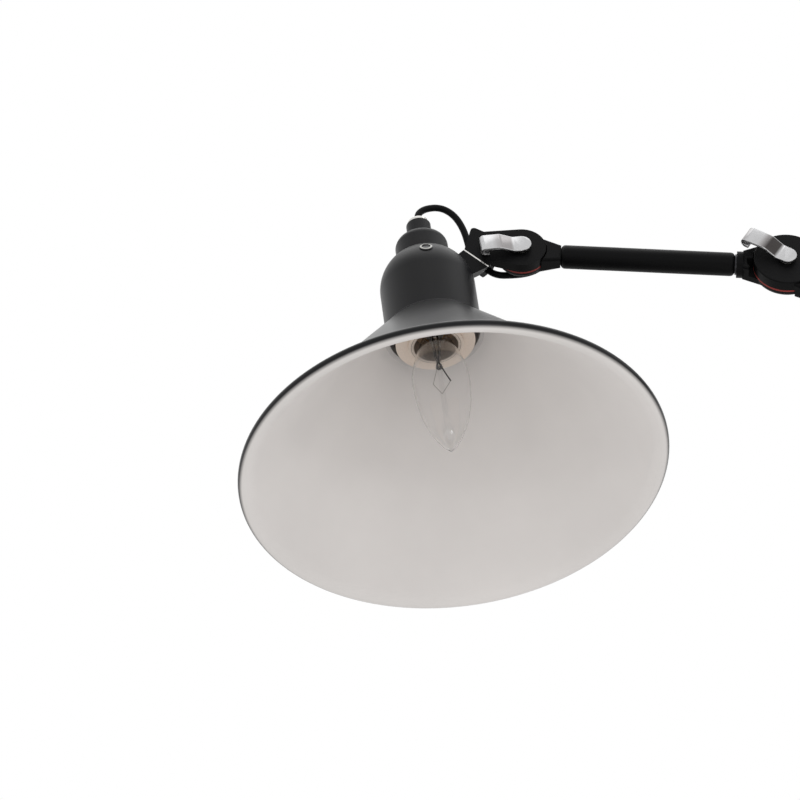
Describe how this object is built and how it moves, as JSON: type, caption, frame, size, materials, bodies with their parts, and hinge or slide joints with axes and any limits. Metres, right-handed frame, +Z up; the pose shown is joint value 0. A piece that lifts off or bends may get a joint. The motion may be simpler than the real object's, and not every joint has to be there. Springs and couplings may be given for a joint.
{
  "type": "adjustable wall lamp",
  "caption": "Wall lamp on a jointed arm: canopy, rear arm, twisting forearm and a conical shade on a tilting, turning head, with hooked clamp levers at the joints.",
  "frame": {"origin": "middle of the mounting bar's back face, on the wall, between its two screw holes", "axes": "+Z up, +Y into the wall, so the lamp reaches out along -Y; +X is the side of the clamp levers"},
  "size_m": [0.2406, 0.471, 0.2236],
  "materials": {
    "satin_black_metal": "satin black paint on cast and drawn metal",
    "shade_enamel": "satin black outside, matte white inside",
    "satin_nickel": "satin nickel",
    "bright_steel": "bright plated steel",
    "plain_steel": "zinc-plated steel",
    "red_fibre": "red vulcanised fibre",
    "brass": "plain brass",
    "brown_phenolic": "brown moulded phenolic",
    "ivory_plastic": "ivory moulded plastic",
    "black_lead": "matte black cable sheath",
    "clear_glass": "clear glass",
    "bulb_cap": "plain aluminium screw base",
    "tungsten": "dark tungsten wire"
  },
  "bodies": {
    "wall_base": {"mounting_bar": "plain_steel", "canopy": "satin_black_metal", "canopy_studs": "plain_steel", "canopy_nuts": "satin_black_metal", "terminal_block": "ivory_plastic", "base_stem": "satin_black_metal", "base_locknut": "plain_steel", "base_swivel_washer": "plain_steel"},
    "base_knuckle": {"base_knuckle": "satin_black_metal", "base_swivel_clip": "plain_steel", "base_friction_washer": "red_fibre", "base_pivot_bolt": "plain_steel"},
    "rear_arm": {"rear_arm_base_eye": "satin_black_metal", "rear_arm_tube": "satin_black_metal", "rear_arm_elbow_eye": "satin_black_metal"},
    "base_lever": {"base_lever": "satin_nickel", "base_lever_hub": "plain_steel"},
    "forearm_knuckle": {"elbow_knuckle": "satin_black_metal", "elbow_friction_washer": "red_fibre", "elbow_pivot_bolt": "plain_steel", "forearm_swivel_clip": "plain_steel"},
    "elbow_lever": {"elbow_lever": "satin_nickel", "elbow_lever_hub": "plain_steel"},
    "forearm": {"forearm_tube": "satin_black_metal", "forearm_bush": "brass", "forearm_swivel_washer": "plain_steel", "forearm_head_eye": "satin_black_metal", "head_friction_washer": "red_fibre", "head_pivot_bolt": "plain_steel"},
    "head_knuckle": {"head_knuckle": "satin_black_metal", "head_swivel_stud": "plain_steel", "head_swivel_nut": "plain_steel", "lead_clip": "satin_black_metal", "lead_clip_run": "black_lead", "lead_joint_loop": "black_lead", "lead_head_loop": "black_lead"},
    "head_lever": {"head_lever": "satin_nickel", "head_lever_hub": "plain_steel"},
    "lamp_head": {"head_bracket": "satin_black_metal", "head_swivel_plate": "bright_steel", "head_swivel_saddle": "plain_steel", "lamp_housing": "satin_black_metal", "housing_cap": "satin_black_metal", "cord_grip": "satin_black_metal", "cord_grip_ring": "bright_steel", "cap_nipple": "plain_steel", "cap_locknut": "plain_steel", "housing_screws": "bright_steel", "socket_strap": "plain_steel", "socket_body": "brown_phenolic", "socket_shell": "brass", "socket_contact": "brass", "socket_plate": "ivory_plastic", "socket_ring": "ivory_plastic", "lamp_shade": "shade_enamel", "bulb_glass": "clear_glass", "bulb_base": "bulb_cap", "bulb_stem": "clear_glass", "bulb_filament": "tungsten"}
  },
  "joints": [
    {"name": "base_turn", "type": "hinge", "parent": "wall_base", "child": "base_knuckle", "pos_m": [0, -0.032, 0], "axis": [0, 1, 0], "range_deg": [-120, 120]},
    {"name": "base_tilt", "type": "hinge", "parent": "base_knuckle", "child": "rear_arm", "pos_m": [0, -0.062, 0], "axis": [1, 0, 0], "range_deg": [-30, 90]},
    {"name": "base_lever_turn", "type": "hinge", "parent": "rear_arm", "child": "base_lever", "pos_m": [0, -0.062, 0], "axis": [1, 0, 0], "range_deg": [0, 110]},
    {"name": "elbow_bend", "type": "hinge", "parent": "rear_arm", "child": "forearm_knuckle", "pos_m": [0, -0.1597, 0.11644], "axis": [1, 0, 0], "range_deg": [-60, 40]},
    {"name": "elbow_lever_turn", "type": "hinge", "parent": "rear_arm", "child": "elbow_lever", "pos_m": [0, -0.1597, 0.11644], "axis": [1, 0, 0], "range_deg": [0, 110]},
    {"name": "forearm_twist", "type": "hinge", "parent": "forearm_knuckle", "child": "forearm", "pos_m": [0, -0.1597, 0.11644], "axis": [0, -0.9981, 0.061], "range_deg": [-90, 90]},
    {"name": "head_tilt", "type": "hinge", "parent": "forearm", "child": "head_knuckle", "pos_m": [0, -0.31142, 0.12572], "axis": [1, 0, 0], "range_deg": [-75, 45], "deforming": ["lead_joint_loop"]},
    {"name": "head_lever_turn", "type": "hinge", "parent": "head_knuckle", "child": "head_lever", "pos_m": [0, -0.31142, 0.12572], "axis": [1, 0, 0], "range_deg": [0, 110]},
    {"name": "head_turn", "type": "hinge", "parent": "head_knuckle", "child": "lamp_head", "pos_m": [0, -0.33732, 0.11752], "axis": [0, 0.682, 0.7314], "range_deg": [-90, 90], "deforming": ["lead_head_loop"]}
  ]
}
